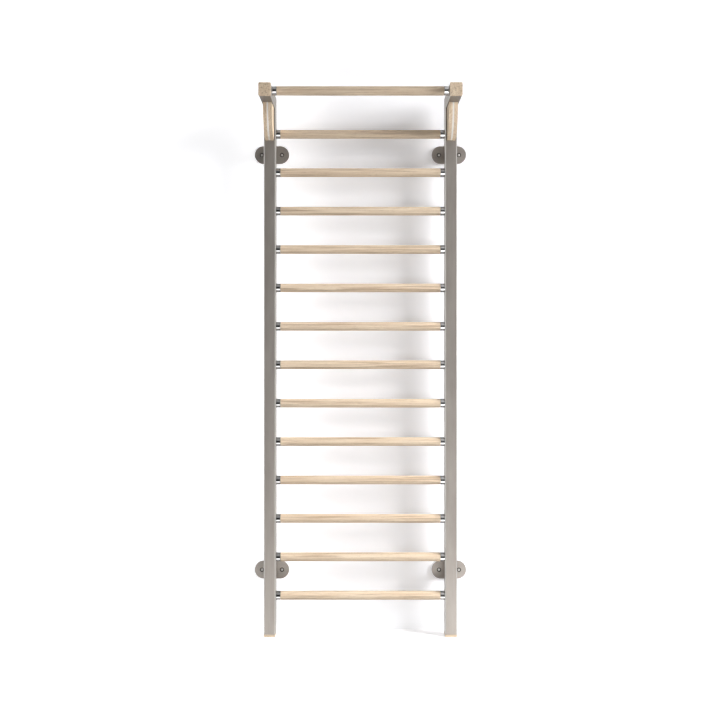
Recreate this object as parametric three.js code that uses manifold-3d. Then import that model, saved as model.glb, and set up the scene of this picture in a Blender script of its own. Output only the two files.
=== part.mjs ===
// Wall bars: two steel side frames, fixed to a wall, carry round oak rungs and a pull-up bar.
// Millimetres, +Z up. The wall is the plane y = 0, the room lies towards -Y, the feet end at z = 0.

import * as THREE from 'three';
import { mergeVertices } from 'three/addons/utils/BufferGeometryUtils.js';
import Module from 'manifold-3d';

const wasm = await Module();
wasm.setup();

// Rectangular steel profile of the uprights and the arms
const profileWidth = 52;
const profileDepth = 54;
const profileWall = 3;
const profileCorner = 4;
const profileInnerCorner = 1.5;

// Rungs: an oak grip on a steel core, with a polished collar at each end
const clearWidth = 746; // between the two uprights
const rungCount = 13;
const rungPitch = 170;
const lowestRung = 177; // height of the lowest rung's axis
const rungDiameter = 39;
const collarLength = 20;
const coreDiameter = 14;
const coreReach = 8; // how far a core's end goes into an upright or an arm

// Arms at the top, with the pull-up bar between them
const topRungToArmTop = 165;
const armReach = 220; // from the front of an upright to the front of the arm's oak end
const armEndThickness = 16;
const barBehindPlug = 22; // from the oak tongue to the bar's core
const barBelowArmTop = 2.5;

// Gussets under the arms: a steel plate between two oak cheeks
const gussetDepth = 104;
const gussetHeight = 143;
const gussetPlateThickness = 7;
const cheekThickness = 15;

// Oak feet, and the tongues of the feet and arm ends inside the profile
const footThickness = 11;
const plugDepth = 12;
const plugCorner = 1;

// Wall plates, their stand-offs and their screws
const plateLength = 155;
const plateHeight = 80;
const plateThickness = 8;
const plateAboveMidGap = 7.5; // how far a plate sits above the middle of its gap between rungs
const standOffLength = 48; // from the front of a plate to the back of an upright
const standOffDiameter = 36;
const studDiameter = 12;
const studReach = 8; // how far a stand-off's stud goes into an upright
const screwSpacing = 90;
const sinkDiameter = 19;
const sinkDepth = 4.5;
const screwHeadDiameter = 11;
const screwShankDiameter = 7;
const screwDome = 1.5;

// Clearances
const jointGap = 0.3; // between pieces that meet
const screwClearance = 0.5; // round a screw in its hole

// Steps of the round shapes
const roundSides = 16;
const cornerSteps = 3;
const gussetSteps = 10;

// Places that follow from the sizes
const rungRadius = rungDiameter / 2;
const coreRadius = coreDiameter / 2;
const studRadius = studDiameter / 2;
const sideCentre = (clearWidth + profileWidth) / 2;
const uprightBack = -(plateThickness + standOffLength);
const uprightAxis = uprightBack - profileDepth / 2;
const uprightFront = uprightBack - profileDepth;
const uprightBottom = footThickness + jointGap;
const topRung = lowestRung + (rungCount - 1) * rungPitch;
const armTop = topRung + topRungToArmTop;
const armAxis = armTop - profileDepth / 2;
const armBottom = armTop - profileDepth;
const armFront = uprightFront - armReach;
const armTubeFront = armFront + armEndThickness + jointGap;
const barAxisY = armFront + armEndThickness + plugDepth + barBehindPlug + coreRadius;
const barAxisZ = armTop - barBelowArmTop - rungRadius;
const plateHeights = {
  lower: lowestRung + rungPitch / 2 + plateAboveMidGap,
  upper: topRung - rungPitch / 2 + plateAboveMidGap,
};

const oak = new THREE.MeshStandardMaterial({ color: 0xdcc4a6, roughness: 0.62, metalness: 0 });
const satinSteel = new THREE.MeshStandardMaterial({ color: 0x9c958e, roughness: 0.42, metalness: 0.9 });
const polishedSteel = new THREE.MeshStandardMaterial({ color: 0xd9d8d6, roughness: 0.08, metalness: 1 });
const screwSteel = new THREE.MeshStandardMaterial({ color: 0xc4c1bd, roughness: 0.22, metalness: 1 });

// Solids that are joined and cut

function toSolid(geometry) {
  const bare = geometry.clone();
  bare.deleteAttribute('normal');
  bare.deleteAttribute('uv');
  const merged = mergeVertices(bare);
  return new wasm.Manifold(new wasm.Mesh({
    numProp: 3,
    vertProperties: merged.attributes.position.array,
    triVerts: Uint32Array.from(merged.index.array),
  }));
}

function toGeometry(solid) {
  const mesh = solid.getMesh();
  const geometry = new THREE.BufferGeometry();
  geometry.setAttribute('position', new THREE.BufferAttribute(mesh.vertProperties, 3));
  geometry.setIndex(new THREE.BufferAttribute(mesh.triVerts, 1));
  return geometry;
}

function cut(body, cutters) {
  let solid = toSolid(body);
  for (const cutter of cutters) {
    solid = solid.subtract(toSolid(cutter));
  }
  return toGeometry(solid);
}

function join(first, second) {
  return toGeometry(toSolid(first).add(toSolid(second)));
}

// Outlines and simple bodies

function roundedRectangle(width, depth, corner) {
  const x = width / 2 - corner;
  const y = depth / 2 - corner;
  const outline = new THREE.Shape();
  outline.absarc(x, y, corner, 0, Math.PI / 2);
  outline.absarc(-x, y, corner, Math.PI / 2, Math.PI);
  outline.absarc(-x, -y, corner, Math.PI, 1.5 * Math.PI);
  outline.absarc(x, -y, corner, 1.5 * Math.PI, 2 * Math.PI);
  return outline;
}

function raise(outline, height, curveSegments) {
  return new THREE.ExtrudeGeometry(outline, { depth: height, curveSegments, bevelEnabled: false });
}

// Lays a raised body down, so that what pointed up points into the room.
function faceRoom(geometry) {
  return geometry.rotateX(Math.PI / 2);
}

// Extrudes an outline drawn in side view, as (y, z) points, across the width from -X to +X.
function acrossWidth(outline, width, curveSegments) {
  const sideView = new THREE.Matrix4().makeBasis(
    new THREE.Vector3(0, 1, 0),
    new THREE.Vector3(0, 0, 1),
    new THREE.Vector3(1, 0, 0),
  );
  return raise(outline, width, curveSegments).translate(0, 0, -width / 2).applyMatrix4(sideView);
}

// Turns a profile of [radius, place] pairs about the Y axis.
function turned(profile) {
  const points = profile.map(([radius, place]) => new THREE.Vector2(radius, place));
  return new THREE.LatheGeometry(points, roundSides);
}

// A round cutter along X that runs through the profile wall on the side of the given sign.
function wallHoleCutter(sign, radius) {
  const length = 2 * profileWall;
  const centre = profileWidth / 2 - profileWall / 2;
  return new THREE.CylinderGeometry(radius, radius, length, roundSides)
    .rotateZ(Math.PI / 2)
    .translate(sign * centre, 0, 0);
}

function steelTube(length) {
  const outline = roundedRectangle(profileWidth, profileDepth, profileCorner);
  const boreWidth = profileWidth - 2 * profileWall;
  const boreDepth = profileDepth - 2 * profileWall;
  outline.holes.push(roundedRectangle(boreWidth, boreDepth, profileInnerCorner));
  return raise(outline, length, cornerSteps);
}

// Everything on one side of the mitre where an arm meets its upright, in side view about their corner.
function mitreCutter(keepsUpright) {
  const half = profileDepth;
  const gap = jointGap / Math.SQRT2;
  const outline = new THREE.Shape();
  if (keepsUpright) {
    outline.moveTo(-half, -half - gap);
    outline.lineTo(half, half - gap);
    outline.lineTo(-half, half - gap);
  } else {
    outline.moveTo(-half, -half + gap);
    outline.lineTo(half, -half + gap);
    outline.lineTo(half, half + gap);
  }
  return acrossWidth(outline, 2 * profileWidth, 1).translate(0, uprightAxis, armAxis);
}

// Pieces of a side frame, each about its own middle in X

function uprightGeometry(innerSign) {
  const tube = steelTube(armTop - uprightBottom).translate(0, uprightAxis, uprightBottom);
  const cutters = [mitreCutter(true)];
  for (let index = 0; index < rungCount; index += 1) {
    const height = lowestRung + index * rungPitch;
    cutters.push(wallHoleCutter(innerSign, coreRadius + jointGap).translate(0, uprightAxis, height));
  }
  for (const height of Object.values(plateHeights)) {
    const studHole = new THREE.CylinderGeometry(
      studRadius + jointGap,
      studRadius + jointGap,
      2 * profileWall,
      roundSides,
    );
    cutters.push(studHole.translate(0, uprightBack - profileWall / 2, height));
  }
  return cut(tube, cutters);
}

function armGeometry(innerSign) {
  const tube = faceRoom(steelTube(uprightBack - armTubeFront)).translate(0, uprightBack, armAxis);
  const coreHole = wallHoleCutter(innerSign, coreRadius + jointGap).translate(0, barAxisY, barAxisZ);
  return cut(tube, [mitreCutter(false), coreHole]);
}

// An oak end that covers the open profile, with a tongue inside it.
function plugGeometry(thickness) {
  const inset = 2 * (profileWall + jointGap);
  const cover = raise(roundedRectangle(profileWidth, profileDepth, plugCorner), thickness, cornerSteps);
  const tongueOutline = roundedRectangle(profileWidth - inset, profileDepth - inset, profileInnerCorner);
  const tongue = raise(tongueOutline, thickness / 2 + plugDepth, cornerSteps).translate(0, 0, thickness / 2);
  return join(cover, tongue);
}

// A quarter ellipse in the corner between the upright's front and the arm's underside.
function gussetGeometry(thickness) {
  const outline = new THREE.Shape();
  outline.moveTo(0, 0);
  outline.lineTo(-gussetDepth, 0);
  outline.absellipse(0, 0, gussetDepth, gussetHeight, Math.PI, 1.5 * Math.PI);
  const body = acrossWidth(outline, thickness, gussetSteps);
  return body.translate(0, uprightFront - jointGap, armBottom - jointGap);
}

function wallPlateGeometry() {
  const endRadius = plateHeight / 2;
  const endCentre = (plateLength - plateHeight) / 2;
  const holeRadius = screwShankDiameter / 2 + screwClearance;
  const outline = new THREE.Shape();
  outline.absarc(endCentre, 0, endRadius, -Math.PI / 2, Math.PI / 2);
  outline.absarc(-endCentre, 0, endRadius, Math.PI / 2, 1.5 * Math.PI);
  for (const sign of [-1, 1]) {
    const hole = new THREE.Path();
    hole.absarc(sign * screwSpacing / 2, 0, holeRadius, 0, 2 * Math.PI);
    outline.holes.push(hole);
  }
  const plate = faceRoom(raise(outline, plateThickness, roundSides / 2));
  const sinks = [-1, 1].map((sign) => sinkCutter().translate(sign * screwSpacing / 2, 0, 0));
  return cut(plate, sinks);
}

// A counterbore in the plate's front face.
function sinkCutter() {
  const spare = jointGap;
  const length = sinkDepth + spare;
  const bore = new THREE.CylinderGeometry(sinkDiameter / 2, sinkDiameter / 2, length, roundSides);
  return bore.translate(0, length / 2 - plateThickness - spare, 0);
}

function standOffGeometry() {
  const radius = standOffDiameter / 2;
  const back = -plateThickness - jointGap;
  const front = uprightBack + jointGap;
  return turned([
    [0, uprightBack - studReach],
    [studRadius, uprightBack - studReach],
    [studRadius, front],
    [radius, front],
    [radius, back],
    [0, back],
  ]);
}

// A round-headed screw, flush with the plate, down to the wall's surface.
function wallScrewGeometry() {
  const headRadius = screwHeadDiameter / 2;
  const shankRadius = screwShankDiameter / 2;
  const rim = -plateThickness + screwDome;
  const seat = -plateThickness + sinkDepth - jointGap;
  const dome = [0, 1 / 2, 1].map((share) => [share * headRadius, rim - screwDome * (1 - share ** 2)]);
  return turned([
    ...dome,
    [headRadius, seat],
    [shankRadius, seat],
    [shankRadius, -jointGap],
    [0, -jointGap],
  ]);
}

// Pieces of a rung, about the middle of its axis

const gripHalf = clearWidth / 2 - collarLength - jointGap;

function gripGeometry() {
  const bore = coreRadius + jointGap;
  const grip = turned([
    [bore, -gripHalf],
    [rungRadius, -gripHalf],
    [rungRadius, gripHalf],
    [bore, gripHalf],
    [bore, -gripHalf],
  ]);
  return grip.rotateZ(Math.PI / 2);
}

function coreGeometry() {
  const collarInner = gripHalf + jointGap;
  const collarOuter = clearWidth / 2 - jointGap;
  const end = clearWidth / 2 + coreReach;
  const core = turned([
    [0, -end],
    [coreRadius, -end],
    [coreRadius, -collarOuter],
    [rungRadius, -collarOuter],
    [rungRadius, -collarInner],
    [coreRadius, -collarInner],
    [coreRadius, collarInner],
    [rungRadius, collarInner],
    [rungRadius, collarOuter],
    [coreRadius, collarOuter],
    [coreRadius, end],
    [0, end],
  ]);
  return core.rotateZ(Math.PI / 2);
}

// Assembly

function piece(name, geometry, material) {
  const mesh = new THREE.Mesh(geometry, material);
  mesh.name = name;
  return mesh;
}

function wallFixing(name, height) {
  const fixing = new THREE.Group();
  fixing.position.z = height;
  fixing.add(piece(`${name}_wall_plate`, wallPlateGeometry(), satinSteel));
  fixing.add(piece(`${name}_stand_off`, standOffGeometry(), satinSteel));
  for (const [end, sign] of [['a', -1], ['b', 1]]) {
    const screw = piece(`${name}_wall_screw_${end}`, wallScrewGeometry(), screwSteel);
    screw.position.x = sign * screwSpacing / 2;
    fixing.add(screw);
  }
  return fixing;
}

function sideFrame(name, sign) {
  const frame = new THREE.Group();
  frame.position.x = sign * sideCentre;
  frame.add(piece(`${name}_upright`, uprightGeometry(-sign), satinSteel));
  frame.add(piece(`${name}_arm`, armGeometry(-sign), satinSteel));

  const foot = piece(`${name}_foot`, plugGeometry(footThickness), oak);
  foot.position.y = uprightAxis;
  frame.add(foot);

  const armEnd = piece(`${name}_arm_end`, plugGeometry(armEndThickness), oak);
  armEnd.position.set(0, armFront, armAxis);
  armEnd.rotation.x = -Math.PI / 2;
  frame.add(armEnd);

  frame.add(piece(`${name}_gusset_plate`, gussetGeometry(gussetPlateThickness), satinSteel));
  const cheekOffset = (gussetPlateThickness + cheekThickness) / 2 + jointGap;
  for (const [face, faceSign] of [['inner', -sign], ['outer', sign]]) {
    const cheek = piece(`${name}_gusset_${face}_cheek`, gussetGeometry(cheekThickness), oak);
    cheek.position.x = faceSign * cheekOffset;
    frame.add(cheek);
  }

  for (const [level, height] of Object.entries(plateHeights)) {
    frame.add(wallFixing(`${name}_${level}`, height));
  }
  return frame;
}

function rung(gripName, coreName, y, z) {
  const bar = new THREE.Group();
  bar.position.set(0, y, z);
  bar.add(piece(gripName, gripGeometry(), oak));
  bar.add(piece(coreName, coreGeometry(), polishedSteel));
  return bar;
}

const wallBars = new THREE.Group();
wallBars.add(sideFrame('left', -1));
wallBars.add(sideFrame('right', 1));
for (let index = 0; index < rungCount; index += 1) {
  const number = String(index + 1).padStart(2, '0');
  const height = lowestRung + index * rungPitch;
  wallBars.add(rung(`rung_${number}`, `rung_core_${number}`, uprightAxis, height));
}
wallBars.add(rung('pull_up_bar', 'pull_up_bar_core', barAxisY, barAxisZ));

export default wallBars;
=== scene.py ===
import math
import random

import bmesh
import bpy
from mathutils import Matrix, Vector


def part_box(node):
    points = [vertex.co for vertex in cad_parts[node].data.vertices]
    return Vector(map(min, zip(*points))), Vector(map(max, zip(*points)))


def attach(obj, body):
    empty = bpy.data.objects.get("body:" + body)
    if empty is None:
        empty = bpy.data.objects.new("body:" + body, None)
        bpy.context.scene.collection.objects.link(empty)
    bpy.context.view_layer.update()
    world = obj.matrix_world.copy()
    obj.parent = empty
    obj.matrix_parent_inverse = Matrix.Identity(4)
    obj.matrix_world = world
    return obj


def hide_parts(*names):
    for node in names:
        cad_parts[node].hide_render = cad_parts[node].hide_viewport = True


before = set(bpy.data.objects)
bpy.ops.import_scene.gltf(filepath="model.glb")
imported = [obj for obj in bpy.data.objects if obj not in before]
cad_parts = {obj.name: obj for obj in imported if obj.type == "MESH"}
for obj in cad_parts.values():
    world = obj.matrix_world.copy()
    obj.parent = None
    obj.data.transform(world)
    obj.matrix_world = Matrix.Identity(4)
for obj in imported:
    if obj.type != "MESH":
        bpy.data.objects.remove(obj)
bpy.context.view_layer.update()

print("frame loaded with", len(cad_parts), "nodes")

scene = bpy.context.scene
scene.view_settings.view_transform = "Standard"
grainDice = random.Random(13)  # where each oak piece was cut from its log
axisX = Vector((1, 0, 0))
axisY = Vector((0, 1, 0))
axisZ = Vector((0, 0, 1))


# shader nodes

class Wire:  # an output socket that takes part in plain arithmetic
    def __init__(self, bench, socket):
        self.bench = bench
        self.socket = socket

    def maths(self, operation, first, second):
        return self.bench.combine(operation, first, second)

    def __add__(self, other):
        return self.maths("ADD", self, other)

    def __radd__(self, other):
        return self.maths("ADD", other, self)

    def __sub__(self, other):
        return self.maths("SUBTRACT", self, other)

    def __rsub__(self, other):
        return self.maths("SUBTRACT", other, self)

    def __mul__(self, other):
        return self.maths("MULTIPLY", self, other)

    def __rmul__(self, other):
        return self.maths("MULTIPLY", other, self)


def isVector(value):
    if isinstance(value, Wire):
        return value.socket.type in ("VECTOR", "RGBA")
    return isinstance(value, tuple)


def findSocket(sockets, key):
    if isinstance(key, int):
        return sockets[key]
    return next(socket for socket in sockets if key in (socket.identifier, socket.name))


class Bench:  # one node tree under work
    def __init__(self, tree):
        self.tree = tree
        tree.nodes.clear()

    def node(self, kind, settings, sockets, output=0):
        made = self.tree.nodes.new("ShaderNode" + kind)
        for name, value in settings.items():
            if name == "stops":
                self.setStops(made.color_ramp, value)
            else:
                setattr(made, name, value)
        for key, value in sockets.items():
            socket = findSocket(made.inputs, key)
            if isinstance(value, Wire):
                self.tree.links.new(value.socket, socket)
            else:
                socket.default_value = value
        return Wire(self, findSocket(made.outputs, output)) if made.outputs else None

    def setStops(self, ramp, stops):
        while len(ramp.elements) < len(stops):
            ramp.elements.new(1.0)
        for element, (place, shade) in zip(ramp.elements, stops):
            element.position = place
            element.color = shade if isinstance(shade, tuple) else (shade, shade, shade, 1)

    def combine(self, operation, first, second):
        if not (isVector(first) or isVector(second)):
            return self.node("Math", {"operation": operation}, {0: first, 1: second})
        pair = [(item,) * 3 if isinstance(item, (int, float)) else item for item in (first, second)]
        return self.node("VectorMath", {"operation": operation}, {0: pair[0], 1: pair[1]})

    def blend(self, mask, low, high):
        sockets = {"Factor_Float": mask, "A_Color": low, "B_Color": high}
        return self.node("Mix", {"data_type": "RGBA"}, sockets, "Result_Color")

    def noise(self, place, detail=2.0, roughness=0.5, output="Fac"):
        sockets = {"Vector": place, "Scale": 1.0, "Detail": detail, "Roughness": roughness}
        return self.node("TexNoise", {}, sockets, output)

    def ramp(self, value, stops):
        return self.node("ValToRGB", {"stops": stops}, {"Fac": value}, "Color")

    def spread(self, value, low, high, floor=0.0, ceiling=1.0):
        sockets = {"Value": value, "From Min": low, "From Max": high, "To Min": floor, "To Max": ceiling}
        return self.node("MapRange", {"clamp": True}, sockets, "Result")


def paint(red, green, blue):  # a screen colour, 0 to 255, as a scene colour
    def linear(part):
        part /= 255
        return part / 12.92 if part < 0.04045 else ((part + 0.055) / 1.055) ** 2.4
    return (linear(red), linear(green), linear(blue), 1.0)


def newMaterial(name):
    material = bpy.data.materials.new(name)
    material.use_nodes = True
    return material, Bench(material.node_tree)


def grainOf(bench):  # metres along and across the grain or the brushing
    return bench.node("Attribute", {"attribute_name": "grain"}, {}, "Vector")


# oak, as solid wood: growth rings round a pith, so sides and ends both come out right

oakLook = {
    "cream": (246, 229, 205),
    "straw": (220, 197, 170),
    "latewood": (201, 173, 143),
    "pore": (150, 119, 91),
    "ringWidth": 0.0042,
    "wander": 0.006,        # how far the rings stray from round
    "roughness": (0.5, 0.68),
    "flecks": 0.45,         # how strongly the rays show
    "relief": 0.25,
}

paintedLightOakLook = {             # for the cheeks of the gussets: a plainer board, and paler as painted light
    **oakLook,
    "flecks": 0.15,
    "cream": (251, 234, 208),
    "straw": (232, 207, 177),
    "latewood": (213, 183, 149),
}


def makeOak(name, look):
    material, bench = newMaterial(name)
    grain = grainOf(bench)
    stray = bench.noise(grain * (2.6, 20, 20), 2.0, 0.5, "Color") - (0.5, 0.5, 0.5)
    across = (grain + stray * (0, look["wander"], look["wander"])) * (0, 1, 1)
    radius = bench.node("VectorMath", {"operation": "LENGTH"}, {0: across}, "Value")
    drift = bench.noise(grain * (2.2, 34, 34), 3.0, 0.55)
    phase = radius * (1 / look["ringWidth"]) + drift * 1.2
    ring = bench.node("Math", {"operation": "FRACT"}, {0: phase})
    late = bench.ramp(ring, [(0.0, 0.8), (0.12, 0.2), (0.45, 0.05), (0.85, 0.5), (1.0, 0.8)])
    fibre = bench.noise(grain * (9, 420, 420), 3.0, 0.6)
    streak = bench.noise(grain * (4.5, 170, 170), 3.0, 0.62)
    vessel = bench.noise(grain * (40, 1100, 1100), 2.0, 0.5)
    pores = bench.spread(vessel, 0.58, 0.68) * bench.spread(late, 0.1, 0.5, 0.25, 1.0)
    flecks = bench.spread(bench.noise(grain * (3, 135, 135), 1.5, 0.5), 0.54, 0.66)
    tone = bench.spread(drift * 0.4 + streak * 0.6, 0.38, 0.64)
    body = bench.blend(tone, paint(*look["cream"]), paint(*look["straw"]))
    ringed = bench.blend(late * 0.55, body, paint(*look["latewood"]))
    fibred = bench.blend(bench.spread(fibre, 0.5, 0.8, 0.0, 0.5), ringed, paint(*look["latewood"]))
    colour = bench.blend(pores * 0.5 + flecks * look["flecks"], fibred, paint(*look["pore"]))
    sheen = bench.spread(fibre, 0.25, 0.75, *look["roughness"])
    height = fibre * 0.5 - pores * 0.8
    bump = bench.node("Bump", {}, {"Strength": look["relief"], "Distance": 0.0004, "Height": height}, "Normal")
    surface = bench.node("BsdfPrincipled", {}, {
        "Base Color": colour, "Roughness": sheen, "Normal": bump, "Specular IOR Level": 0.35}, "BSDF")
    bench.node("OutputMaterial", {}, {"Surface": surface})
    return material


# metals

satinLook = {
    "dark": (163, 155, 148),
    "pale": (179, 172, 165),
    "recess": (70, 65, 60),  # painted shade: in the sinks of the wall plates, in part under the arms and on the uprights beside the gussets
    "rubbed": (200, 197, 193),  # painted highlight along the long edges of the tubes
    "metal": 0.8,
    "roughness": (0.36, 0.44),
    "relief": 0.05,
}


def makeSatinSteel(name, look):
    material, bench = newMaterial(name)
    grain = grainOf(bench)
    brushing = bench.noise(grain * (7, 1500, 1500), 3.0, 0.65)
    cloud = bench.noise(grain * (5, 18, 18), 3.0, 0.55)
    shade = bench.spread(brushing * 0.5 + cloud * 0.5, 0.35, 0.65)
    brushed = bench.blend(shade, paint(*look["dark"]), paint(*look["pale"]))
    # the base colour carries painted shade from one mask and a painted highlight along the tube corners from another
    recess = bench.node("Attribute", {"attribute_name": "recess"}, {}, "Fac")
    rubbed = bench.node("Attribute", {"attribute_name": "rubbed"}, {}, "Fac")
    shaded = bench.blend(recess, brushed, paint(*look["recess"]))
    colour = bench.blend(rubbed, shaded, paint(*look["rubbed"]))
    gloss = bench.spread(brushing * 0.6 + cloud * 0.4, 0.3, 0.7, *look["roughness"])
    bump = bench.node("Bump", {}, {"Strength": look["relief"], "Distance": 0.0002, "Height": brushing}, "Normal")
    surface = bench.node("BsdfPrincipled", {}, {
        "Base Color": colour, "Metallic": look["metal"], "Roughness": gloss, "Normal": bump}, "BSDF")
    bench.node("OutputMaterial", {}, {"Surface": surface})
    return material


groundLook = {              # the ground edge of a gusset plate, paler and more matt
    "dark": (240, 233, 226),
    "pale": (250, 245, 239),
    # colours for painted shade and a painted highlight, as on satin steel
    "recess": (70, 65, 60),
    "rubbed": (200, 197, 193),
    "metal": 0.15,
    "roughness": (0.5, 0.6),
    "relief": 0.08,
}


polishLook = {
    "dark": (145, 144, 143),
    "pale": (159, 158, 157),
    "roughness": (0.05, 0.09),
}


def makePolishedSteel(look):
    material, bench = newMaterial("polishedSteel")
    grain = grainOf(bench)
    turning = bench.noise(grain * (2600, 30, 30), 2.0, 0.5)
    smear = bench.noise(grain * (70, 70, 70), 3.0, 0.6)
    colour = bench.blend(turning, paint(*look["dark"]), paint(*look["pale"]))
    gloss = bench.spread(turning * 0.4 + smear * 0.6, 0.3, 0.7, *look["roughness"])
    surface = bench.node("BsdfPrincipled", {}, {
        "Base Color": colour, "Metallic": 1.0, "Roughness": gloss}, "BSDF")
    bench.node("OutputMaterial", {}, {"Surface": surface})
    return material


zincLook = {
    "dark": (192, 189, 185),
    "pale": (212, 209, 205),
    "metal": 0.45,
    "roughness": (0.3, 0.42),
}


def makeScrewSteel(look):
    material, bench = newMaterial("screwSteel")
    grain = grainOf(bench)
    tumbling = bench.noise(grain * (900, 900, 900), 3.0, 0.6)
    colour = bench.blend(tumbling, paint(*look["dark"]), paint(*look["pale"]))
    gloss = bench.spread(tumbling, 0.3, 0.7, *look["roughness"])
    surface = bench.node("BsdfPrincipled", {}, {
        "Base Color": colour, "Metallic": look["metal"], "Roughness": gloss}, "BSDF")
    bench.node("OutputMaterial", {}, {"Surface": surface})
    return material


finishes = {
    "oak": makeOak("limedOak", oakLook),
    "satin_steel": makeSatinSteel("satinSteel", satinLook),
    "polished_steel": makePolishedSteel(polishLook),
    "screw_steel": makeScrewSteel(zincLook),
}
# oak made paler as painted light, for the gusset cheeks
paintedLightOak = makeOak("paintedLightOak", paintedLightOakLook)
groundSteel = makeSatinSteel("groundSteel", groundLook)
print("finishes ready:", ", ".join(finishes))


# mesh making

def circleLoop(radius, along, sides):
    turn = 2 * math.pi / sides
    return [Vector((radius * math.cos(turn * i), radius * math.sin(turn * i), along)) for i in range(sides)]


def boxLoop(width, depth, corner, along, steps):
    points = []
    for quarter, (sx, sy) in enumerate(((1, 1), (-1, 1), (-1, -1), (1, -1))):
        centre = Vector((sx * (width / 2 - corner), sy * (depth / 2 - corner), along))
        for i in range(steps + 1):
            angle = math.pi / 2 * (quarter + i / steps)
            points.append(centre + Vector((corner * math.cos(angle), corner * math.sin(angle), 0)))
    return points


def roundedStep(reach, rise, steps):  # insets and heights of a rounded edge, from its end face to its side
    angles = [math.pi / 2 * i / steps for i in range(steps + 1)]
    return [(reach * (1 - math.sin(angle)), rise * (1 - math.cos(angle))) for angle in angles]


def loft(bm, loops, closed=False):
    rings = [[bm.verts.new(point) for point in loop] for loop in loops]
    count = len(rings[0])
    pairs = list(zip(rings, rings[1:]))
    if closed:
        pairs.append((rings[-1], rings[0]))
    for first, second in pairs:
        for i in range(count):
            j = (i + 1) % count
            bm.faces.new((first[i], first[j], second[j], second[i]))
    if not closed:
        bm.faces.new(rings[0])
        bm.faces.new(rings[-1])
    return rings


class Stand:  # where a piece's own axes lie in the part
    def __init__(self, origin, right, up, along):
        self.origin = Vector(origin)
        self.right = right
        self.up = up
        self.along = along

    def place(self, point):
        return self.origin + self.right * point.x + self.up * point.y + self.along * point.z


def writeGrain(mesh, stand, slide, grainAxis):
    layer = mesh.attributes.new("grain", "FLOAT_VECTOR", "POINT")
    axes = {"along": (2, 0, 1), "right": (0, 1, 2), "up": (1, 0, 2)}[grainAxis]
    frameAxes = (stand.right, stand.up, stand.along)
    for vertex, entry in zip(mesh.vertices, layer.data):
        own = vertex.co - stand.origin
        entry.vector = [own.dot(frameAxes[axis]) + shift for axis, shift in zip(axes, slide)]


def writeShare(mesh, name, shareAt):
    layer = mesh.attributes.new(name, "FLOAT", "POINT")
    for vertex, entry in zip(mesh.vertices, layer.data):
        entry.value = shareAt(vertex.co)


def addPiece(name, bm, stand, node, slot, slide=(0, 0, 0), grainAxis="along", sharp=40, finish=None):
    for vertex in bm.verts:
        vertex.co = stand.place(vertex.co)
    bmesh.ops.recalc_face_normals(bm, faces=bm.faces[:])
    mesh = bpy.data.meshes.new(name)
    bm.to_mesh(mesh)
    bm.free()
    mesh.shade_smooth()
    mesh.set_sharp_from_angle(angle=math.radians(sharp))
    writeGrain(mesh, stand, slide, grainAxis)
    piece = bpy.data.objects.new(name, mesh)
    scene.collection.objects.link(piece)
    mesh.materials.append(finish or finishes[slot])
    weighted = piece.modifiers.new("flatFaces", "WEIGHTED_NORMAL")
    weighted.keep_sharp = True
    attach(piece, "root")
    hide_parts(node)
    return piece


def cutFromLog(near=0.03, far=0.07):  # shift of a piece from its log's pith
    angle = grainDice.uniform(0, 2 * math.pi)
    reach = grainDice.uniform(near, far)
    return (grainDice.uniform(0, 40), reach * math.cos(angle), reach * math.sin(angle))


def corners(node):
    low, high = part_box(node)
    return Vector(low), Vector(high)


# round bars: oak grips on steel cores with polished collars

barLook = {
    "sides": 72,
    "endRound": 0.0012,     # eased ends of the oak
    "collarRound": 0.0009,  # broken edges of a collar
    "boreRadius": 0.0073,
    "coreRadius": 0.007,
    "gap": 0.0003,
    "edgeSteps": 4,
}


def addBar(name, grip, core, clearHalf, look):
    low, high = corners(grip)
    middle = (low + high) / 2
    radius = (high.z - low.z) / 2
    half = (high.x - low.x) / 2
    sides = look["sides"]
    stand = Stand(middle, axisY, axisZ, axisX)

    edge = roundedStep(look["endRound"], look["endRound"], look["edgeSteps"])
    outside = [(radius - inset, -half + rise) for inset, rise in edge]
    outside += [(rim, -along) for rim, along in reversed(outside)]
    section = outside + [(look["boreRadius"], half), (look["boreRadius"], -half)]
    bm = bmesh.new()
    loft(bm, [circleLoop(rim, along, sides) for rim, along in section], closed=True)
    addPiece(name, bm, stand, grip, "oak", cutFromLog())

    tip = (corners(core)[1].x - corners(core)[0].x) / 2
    inner = half + look["gap"]
    outer = clearHalf - look["gap"]
    edge = roundedStep(look["collarRound"], look["collarRound"], look["edgeSteps"])
    collar = [(radius - inset, inner + rise) for inset, rise in edge]
    collar += [(radius - inset, outer - rise) for inset, rise in reversed(edge)]
    arm = [(look["coreRadius"], inner)] + collar + [(look["coreRadius"], outer), (look["coreRadius"], tip)]
    section = [(rim, -along) for rim, along in reversed(arm)] + arm
    bm = bmesh.new()
    loft(bm, [circleLoop(rim, along, sides) for rim, along in section])
    addPiece(name + "Core", bm, stand, core, "polished_steel")


clearHalf = -corners("left_upright")[1].x
rungCount = sum(node.startswith("rung_core_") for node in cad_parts)
for number in range(1, rungCount + 1):
    addBar(f"rung{number:02d}", f"rung_{number:02d}", f"rung_core_{number:02d}", clearHalf, barLook)
addBar("pullUpBar", "pull_up_bar", "pull_up_bar_core", clearHalf, barLook)
print("bars made:", rungCount + 1)


# frame tubes, mitred where an upright meets its arm, and their oak plugs

tubeLook = {
    "corner": 0.004,
    "innerCorner": 0.0015,
    "wall": 0.003,
    "edge": 0.0005,         # broken edge at each cut end
    "seam": 0.0003,
    "cornerSteps": 5,
    "underside": 0.45,      # how much painted shade an arm gets below
    "shadeBesideGusset": 0.75,   # and painted shade on an upright's front beside the gusset
}


def tubeLoop(width, depth, inset, corner, along, slope, look):
    loop = boxLoop(width - 2 * inset, depth - 2 * inset, max(corner - inset, 0.0002), 0, look["cornerSteps"])
    return [Vector((point.x, point.y, along + slope * point.y)) for point in loop]


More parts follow.
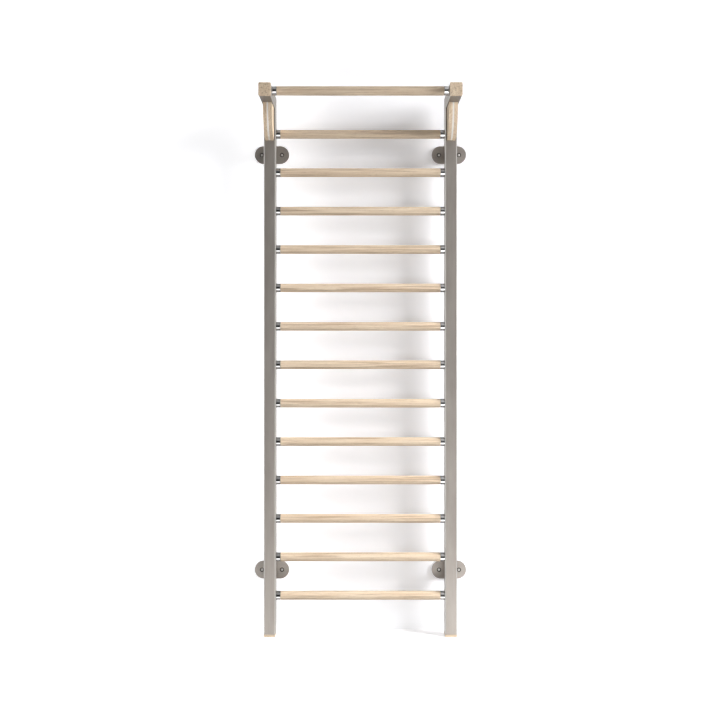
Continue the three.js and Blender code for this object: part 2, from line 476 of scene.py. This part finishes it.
def addTube(name, node, stand, width, depth, start, end, endSlope, look, stations=()):
    edge = look["edge"]
    wall = look["wall"]
    outer = look["corner"]
    inner = look["innerCorner"] + wall
    loops = [
        tubeLoop(width, depth, edge, outer, start, 0, look),
        tubeLoop(width, depth, 0, outer, start + edge, 0, look),
        *[tubeLoop(width, depth, 0, outer, station, 0, look) for station in stations],
        tubeLoop(width, depth, 0, outer, end - edge, endSlope, look),
        tubeLoop(width, depth, edge, outer, end, endSlope, look),
        tubeLoop(width, depth, wall, inner, end, endSlope, look),
        tubeLoop(width, depth, wall, inner, start, 0, look),
    ]
    bm = bmesh.new()
    loft(bm, loops, closed=True)
    slide = (grainDice.uniform(0, 9), grainDice.uniform(0, 9), grainDice.uniform(0, 9))
    tube = addPiece(name, bm, stand, node, "satin_steel", slide)
    flatHalves = (width / 2 - outer + edge / 50, depth / 2 - outer + edge / 50)

    # painted highlight on the rounded long corners of the tube
    def onCorner(point):
        own = point - stand.origin
        return abs(own.dot(stand.right)) > flatHalves[0] and abs(own.dot(stand.up)) > flatHalves[1]

    writeShare(tube.data, "rubbed", onCorner)
    return tube


plugLook = {
    "corner": 0.001,
    "faceRound": 0.0009,    # rounded edge of the face that shows
    "jointRound": 0.0005,   # eased edge against the steel
    "tongueEase": 0.0003,   # slack of the tongue in the tube
    "edgeSteps": 4,
}


def addPlug(name, node, stand, width, depth, thickness, length, tubes, look, grainAxis):
    steps = tubes["cornerSteps"]
    ease = tubes["wall"] + look["tongueEase"]
    profile = roundedStep(look["faceRound"], look["faceRound"], look["edgeSteps"])
    profile += [(inset, thickness - rise) for inset, rise in
                reversed(roundedStep(look["jointRound"], look["jointRound"], look["edgeSteps"]))]
    profile += [(ease, thickness), (ease, length)]
    loops = []
    for inset, along in profile:
        rounding = look["corner"] if inset < ease else tubes["innerCorner"]
        loops.append(boxLoop(width - 2 * inset, depth - 2 * inset, rounding, along, steps))
    bm = bmesh.new()
    loft(bm, loops)
    addPiece(name, bm, stand, node, "oak", cutFromLog(0.02, 0.05), grainAxis)


def addSide(side, tubes, plugs):
    low, high = corners(side + "_upright")
    armLow, armHigh = corners(side + "_arm")
    endLow, endHigh = corners(side + "_arm_end")
    footLow, footHigh = corners(side + "_foot")
    middle = (low + high) / 2
    width = high.x - low.x
    depth = high.y - low.y
    armHeight = armHigh.z - armLow.z
    seam = tubes["seam"]

    # the mitre runs from the back of the top to the front of the arm's underside
    upright = Stand((middle.x, middle.y, 0), axisX, axisY, axisZ)
    gussetFoot = corners(side + "_gusset_plate")[0].z
    tube = addTube(side + "Upright", side + "_upright", upright, width, depth, low.z,
                   armHigh.z - depth / 2 - seam / 2, 1, tubes, (gussetFoot - seam, gussetFoot + seam))
    # painted shade on the upright's front beside its gusset
    writeShare(tube.data, "recess", lambda point: tubes["shadeBesideGusset"] * (
        point.z > gussetFoot and point.y < low.y + seam / 2))
    arm = Stand((middle.x, 0, armHigh.z - armHeight / 2), axisX, axisZ, axisY)
    tube = addTube(side + "Arm", side + "_arm", arm, width, armHeight,
                   armLow.y, middle.y - seam / 2, 1, tubes)
    # painted shade under the arm
    writeShare(tube.data, "recess", lambda point: tubes["underside"] * (point.z < armLow.z + seam / 2))

    end = Stand((middle.x, endLow.y, armHigh.z - armHeight / 2), axisX, axisZ, axisY)
    addPlug(side + "ArmEnd", side + "_arm_end", end, width, armHeight,
            armLow.y - seam - endLow.y, endHigh.y - endLow.y, tubes, plugs, "along")
    foot = Stand((middle.x, middle.y, footLow.z), axisX, axisY, axisZ)
    addPlug(side + "Foot", side + "_foot", foot, width, depth,
            low.z - seam - footLow.z, footHigh.z - footLow.z, tubes, plugs, "right")


for side in ("left", "right"):
    addSide(side, tubeLook, plugLook)
print("uprights, arms and their oak plugs made")


# gussets: a steel plate between two oak cheeks, each a quarter ellipse under the arm

gussetLook = {
    "curveSteps": 40,
    "cheekRound": 0.0016,
    "plateRound": 0.0006,
    "edgeSteps": 3,
}


def gussetOutline(depth, height, steps):  # from the corner of arm and upright, forward and round
    points = [Vector((0, 0))]
    for i in range(steps + 1):
        angle = math.pi / 2 * i / steps
        points.append(Vector((depth * math.cos(angle), height * math.sin(angle))))
    return points


def addGussetPiece(name, node, rounding, slot, finish, look):
    low, high = corners(node)
    outline = gussetOutline(high.y - low.y, high.z - low.z, look["curveSteps"])
    thickness = high.x - low.x
    stand = Stand((low.x, high.y, high.z), -axisY, -axisZ, axisX)
    bm = bmesh.new()
    loft(bm, [[Vector((point.x, point.y, along)) for point in outline] for along in (0, thickness)])
    rims = [edge for edge in bm.edges if any(len(face.verts) > 4 for face in edge.link_faces)]
    bmesh.ops.bevel(bm, geom=rims, offset=rounding, segments=look["edgeSteps"], profile=0.5, affect="EDGES")
    slide = cutFromLog(0.03, 0.06)
    addPiece(name, bm, stand, node, slot, slide, "up", finish=finish)


for side in ("left", "right"):
    for part in ("inner", "outer"):
        addGussetPiece(f"{side}Gusset{part.capitalize()}Cheek", f"{side}_gusset_{part}_cheek",
                       gussetLook["cheekRound"], "oak", paintedLightOak, gussetLook)
    addGussetPiece(side + "GussetPlate", side + "_gusset_plate",
                   gussetLook["plateRound"], "satin_steel", groundSteel, gussetLook)
print("gussets made")


# wall fixings: stadium plates, stand-offs and their screws

fixingLook = {
    "arcSteps": 40,
    "plateRound": 0.0009,
    "edgeSteps": 4,
    "sinkRadius": 0.0095,
    "sinkDepth": 0.0045,
    "sinkEdge": 0.0003,     # broken edge of a sink
    "sinkSides": 48,
    "holeRadius": 0.004,
    "standOffSides": 64,
    "weldRise": 0.0035,     # fillet of weld at each end of a stand-off
    "studRadius": 0.006,
    "gap": 0.0003,
}

screwLook = {
    "dome": 0.0015,
    "domeRings": 8,
    "rim": 0.0004,          # rounded rim of the head
    "neckRadius": 0.0035,
    "socketFlats": 0.0032,  # hexagon recess, across flats
    "socketDepth": 0.0014,
    "socketEdge": 0.0002,
    "sides": 48,
}


def stadiumLoop(length, height, inset, along, steps):
    reach = (length - height) / 2
    rim = height / 2 - inset
    points = []
    for way in (1, -1):
        for i in range(steps + 1):
            angle = math.pi * (i / steps - 0.5)
            points.append(Vector((way * (reach + rim * math.cos(angle)), way * rim * math.sin(angle), along)))
    return points


def fillAround(bm, outer, holes):
    edges = []
    for ring in [outer] + holes:
        for first, second in zip(ring, ring[1:] + ring[:1]):
            edges.append(bm.edges.get((first, second)))
    bmesh.ops.triangle_fill(bm, edges=edges, use_beauty=True, use_dissolve=False)


def bridge(bm, loops):
    rings = [[bm.verts.new(point) for point in loop] for loop in loops]
    count = len(rings[0])
    for first, second in zip(rings, rings[1:]):
        for i in range(count):
            j = (i + 1) % count
            bm.faces.new((first[i], first[j], second[j], second[i]))
    return rings[0], rings[-1]


def addWallPlate(name, node, screwPlaces, look):
    low, high = corners(node)
    middle = (low + high) / 2
    length = high.x - low.x
    height = high.z - low.z
    thickness = high.y - low.y
    stand = Stand((middle.x, low.y, middle.z), axisX, axisZ, axisY)  # the plate's face is at 0, the wall behind it
    edge = roundedStep(look["plateRound"], look["plateRound"], look["edgeSteps"])
    bm = bmesh.new()
    loops = [stadiumLoop(length, height, inset, rise, look["arcSteps"]) for inset, rise in edge]
    loops.append(stadiumLoop(length, height, 0, thickness, look["arcSteps"]))
    face, back = bridge(bm, loops)
    edge = look["sinkEdge"]
    sink = look["sinkRadius"]
    hole = look["holeRadius"]
    depth = look["sinkDepth"]
    profile = [(sink + edge, 0), (sink, edge), (sink, depth), (hole, depth), (hole, thickness)]
    faceHoles, backHoles = [], []
    for place in screwPlaces:
        shift = Vector((place - middle.x, 0, 0))
        loops = [[point + shift for point in circleLoop(rim, along, look["sinkSides"])] for rim, along in profile]
        first, last = bridge(bm, loops)
        faceHoles.append(first)
        backHoles.append(last)
    fillAround(bm, face, faceHoles)
    fillAround(bm, back, backHoles)
    slide = (grainDice.uniform(0, 9), grainDice.uniform(0, 9), grainDice.uniform(0, 9))
    plate = addPiece(name, bm, stand, node, "satin_steel", slide, "right")

    # painted shade in the sinks round the screws
    def sunk(point):
        reach = min(math.hypot(point.x - place, point.z - middle.z) for place in screwPlaces)
        return reach < sink + edge / 2 and point.y < high.y - edge

    writeShare(plate.data, "recess", sunk)


def hexLoop(flats, along, sides):
    points = []
    for i in range(sides):
        angle = 2 * math.pi * i / sides
        fold = (angle % (math.pi / 3)) - math.pi / 6
        rim = flats / 2 / math.cos(fold)
        points.append(Vector((rim * math.cos(angle), rim * math.sin(angle), along)))
    return points


def addScrew(name, node, fixings, look):
    low, high = corners(node)
    middle = (low + high) / 2
    radius = (high.z - low.z) / 2
    length = high.y - low.y
    sides = look["sides"]
    dome = look["dome"]
    rim = look["rim"]
    flats = look["socketFlats"]
    stand = Stand((middle.x, low.y, middle.z), axisX, axisZ, axisY)
    bend = (radius ** 2 + dome ** 2) / (2 * dome)
    mouth = flats / 2 / math.cos(math.pi / 6) + look["socketEdge"]
    loops = [hexLoop(flats, look["socketDepth"], sides), hexLoop(flats, 2 * look["socketEdge"], sides)]
    for i in range(look["domeRings"] + 1):
        reach = mouth + (radius - rim - mouth) * i / look["domeRings"]
        loops.append(circleLoop(reach, bend - math.sqrt(bend ** 2 - reach ** 2), sides))
    seat = fixings["sinkDepth"] - fixings["gap"]
    side = [(radius, dome + rim), (radius, seat), (look["neckRadius"], seat), (look["neckRadius"], length)]
    loops += [circleLoop(reach, along, sides) for reach, along in side]
    bm = bmesh.new()
    loft(bm, loops)
    addPiece(name, bm, stand, node, "screw_steel", (0, 0, 0), "along", 30)


def addStandOff(name, node, uprightBack, look):
    low, high = corners(node)
    middle = (low + high) / 2
    radius = (high.z - low.z) / 2
    sides = look["standOffSides"]
    stand = Stand((middle.x, low.y, middle.z), axisX, axisZ, axisY)
    length = high.y - low.y
    start = uprightBack + look["gap"] - low.y
    weld = look["weldRise"]
    shaft = radius - weld
    fillet = roundedStep(weld, weld, look["edgeSteps"])
    section = [(look["studRadius"], 0), (look["studRadius"], start)]
    section += [(shaft + rise, start + inset) for rise, inset in fillet]
    section += [(shaft + rise, length - inset) for rise, inset in reversed(fillet)]
    bm = bmesh.new()
    loft(bm, [circleLoop(rim, along, sides) for rim, along in section])
    slide = (grainDice.uniform(0, 9), grainDice.uniform(0, 9), grainDice.uniform(0, 9))
    addPiece(name, bm, stand, node, "satin_steel", slide)


for side in ("left", "right"):
    uprightBack = corners(side + "_upright")[1].y
    for level in ("lower", "upper"):
        words = f"{side}_{level}"
        title = side + level.capitalize()
        screws = [f"{words}_wall_screw_{mark}" for mark in "ab"]
        places = [sum(corners(screw), Vector()).x / 2 for screw in screws]
        addWallPlate(title + "WallPlate", words + "_wall_plate", places, fixingLook)
        addStandOff(title + "StandOff", words + "_stand_off", uprightBack, fixingLook)
        for screw, mark in zip(screws, "AB"):
            addScrew(title + "WallScrew" + mark, screw, fixingLook, screwLook)
print("wall fixings made")


# wall and floor behind the object

stageLook = {
    "wallBehind": 0.0006,
    "floorBelow": 0.0006,
    "reach": 9.0,
    "shade": (0.935, 0.935, 0.975),
    "wallBounce": 0.9,      # how much of its light comes back on to the object
    "floorBounce": 0.5,
    "mirrored": 0.8,        # how bright the wall looks in metal
    # white that doesn't depend on the lamps: by height over the ceiling's, and more of it to the left
    "ceiling": 3.0,
    "glow": [(0.02, 0.42), (0.075, 0.24), (0.4, 0.2), (0.66, 0.21), (0.72, 0.165), (0.77, 0.24), (0.88, 0.5)],
    "glowLeft": 0.45,
    "glowSides": (-0.1, -0.45),
    "glowAway": 0.7,        # and well away from the object
    "glowOut": (1.7, 2.7),
}


def makeBackdropPaint(name, bounce, look):
    material, bench = newMaterial(name)
    seen = bench.node("LightPath", {}, {}, "Is Camera Ray")
    glossy = bench.node("LightPath", {}, {}, "Is Glossy Ray")
    matt = bench.node("BsdfDiffuse", {}, {"Color": look["shade"] + (1,)}, "BSDF")
    dim = bench.node("BsdfDiffuse", {}, {"Color": (bounce,) * 3 + (1,)}, "BSDF")
    grey = bench.node("Emission", {}, {"Color": (look["mirrored"],) * 3 + (1,)}, "Emission")
    place = bench.node("NewGeometry", {}, {}, "Position")
    aside = bench.node("SeparateXYZ", {}, {"Vector": place}, "X")
    height = bench.node("SeparateXYZ", {}, {"Vector": place}, "Z")
    level = bench.ramp(height * (1 / look["ceiling"]), look["glow"])
    out = bench.node("VectorMath", {"operation": "LENGTH"}, {0: place * (1, 1, 0)}, "Value")
    white = level + bench.spread(aside, *look["glowSides"], 0.0, look["glowLeft"])
    white = white + bench.spread(out, *look["glowOut"], 0.0, look["glowAway"])
    glow = bench.node("Emission", {}, {"Color": white}, "Emission")
    lifted = bench.node("AddShader", {}, {0: matt, 1: glow}, "Shader")
    unseen = bench.node("MixShader", {}, {"Fac": glossy, 1: dim, 2: grey}, "Shader")
    front = bench.node("MixShader", {}, {"Fac": seen, 1: unseen, 2: lifted}, "Shader")
    clear = bench.node("BsdfTransparent", {}, {}, "BSDF")
    behind = bench.node("NewGeometry", {}, {}, "Backfacing")
    surface = bench.node("MixShader", {}, {"Fac": behind, 1: front, 2: clear}, "Shader")
    bench.node("OutputMaterial", {}, {"Surface": surface})
    return material


def addPlane(name, points, material):
    mesh = bpy.data.meshes.new(name)
    mesh.from_pydata(points, [], [tuple(range(len(points)))])
    plane = bpy.data.objects.new(name, mesh)
    scene.collection.objects.link(plane)
    mesh.materials.append(material)
    return plane


def addStage(look):
    reach = look["reach"]
    wallY = look["wallBehind"]
    floorZ = -look["floorBelow"]
    wallPoints = [(-reach, wallY, floorZ), (reach, wallY, floorZ), (reach, wallY, reach), (-reach, wallY, reach)]
    addPlane("wall", wallPoints, makeBackdropPaint("wallPaint", look["wallBounce"], look))
    floorPoints = [(-reach, -reach, floorZ), (reach, -reach, floorZ), (reach, wallY, floorZ), (-reach, wallY, floorZ)]
    floor = addPlane("floor", floorPoints, makeBackdropPaint("floorPaint", look["floorBounce"], look))
    floor.visible_glossy = False  # metal mirrors the pale lower half of the studio instead


addStage(stageLook)
print("wall and floor made")


# light

lampLook = {
    "side": {"place": (6.0, -2.3, 2.7), "aim": (0, 0, 0.35), "size": (2.5, 2.0), "power": 60.5, "spread": 55},
    "high": {"place": (5.6, -2.4, 4.4), "aim": (0, 0, 0.35), "size": (2.0, 1.5), "power": 41.0, "spread": 70},
    "low": {"place": (0.5, -3.6, 0.15), "aim": (0, 0, 1.7), "size": (2.4, 1.2), "power": 16.4, "spread": 120},
}


def addLamp(name, look):
    data = bpy.data.lights.new(name, "AREA")
    data.shape = "RECTANGLE"
    data.size, data.size_y = look["size"]
    data.energy = look["power"]
    data.spread = math.radians(look["spread"])
    lamp = bpy.data.objects.new(name, data)
    lamp.location = look["place"]
    lamp.rotation_euler = (Vector(look["aim"]) - lamp.location).to_track_quat("-Z", "Y").to_euler()
    lamp.visible_glossy = False
    scene.collection.objects.link(lamp)


for name, look in lampLook.items():
    addLamp(name, look)


worldLook = {
    "ambient": 0.2,
    # what metal mirrors: brightness by height of view, from straight down to straight up
    "studio": [(0.0, 0.4), (0.06, 0.8), (0.13, 2.1), (0.23, 2.1), (0.3, 0.4), (0.35, 0.03), (0.71, 0.03), (0.78, 0.4), (1.0, 0.42)],
    # how that varies from far left to far right, and a haze over it that ends below
    "lean": [(0.33, 0.37), (0.46, 0.88), (0.62, 1.8), (0.73, 0.75), (0.92, 0.15)],
    "haze": [(0.075, 0.9), (0.2, 0.0), (0.5, 0.0), (0.8, 0.45), (0.85, 0.45), (0.95, 0.2)],
    "hazeEnd": (-0.35, -0.5),
    "gain": 2.38,
}


def makeWorld(look):
    world = bpy.data.worlds.new("studio")
    world.use_nodes = True
    bench = Bench(world.node_tree)
    seen = bench.node("LightPath", {}, {}, "Is Camera Ray")
    glossy = bench.node("LightPath", {}, {}, "Is Glossy Ray")
    ray = bench.node("TexCoord", {}, {}, "Generated")
    rise = bench.node("SeparateXYZ", {}, {"Vector": ray}, "Z")
    aside = bench.node("SeparateXYZ", {}, {"Vector": ray}, "X")
    across = aside * 0.5 + 0.5
    ahead = bench.ramp(rise * 0.5 + 0.5, look["studio"]) * bench.ramp(across, look["lean"])
    haze = bench.ramp(across, look["haze"]) * bench.spread(rise, *look["hazeEnd"], 1.0, 0.0)
    studio = ahead + haze
    soft = bench.node("Background", {}, {"Color": (look["ambient"],) * 3 + (1,)}, "Background")
    mirrored = bench.node("Background", {}, {"Color": studio, "Strength": look["gain"]}, "Background")
    white = bench.node("Background", {}, {"Color": (1, 1, 1, 1)}, "Background")
    unseen = bench.node("MixShader", {}, {"Fac": glossy, 1: soft, 2: mirrored}, "Shader")
    surface = bench.node("MixShader", {}, {"Fac": seen, 1: unseen, 2: white}, "Shader")
    bench.node("OutputWorld", {}, {"Surface": surface})
    return world


scene.world = makeWorld(worldLook)
print("lamps and world set")


# camera, square on to the wall

cameraLook = {
    "place": (0.0, -4.11, 1.3686),
    "lens": 45.49,
    "sensor": 36.0,
    "shift": (-0.00056, -34 / 720),
}


def addCamera(look):
    data = bpy.data.cameras.new("camera")
    data.sensor_width = look["sensor"]
    data.lens = look["lens"]
    data.shift_x, data.shift_y = look["shift"]
    camera = bpy.data.objects.new("camera", data)
    camera.location = look["place"]
    camera.rotation_euler = (math.pi / 2, 0, 0)
    scene.collection.objects.link(camera)
    scene.camera = camera


addCamera(cameraLook)
print("camera set")
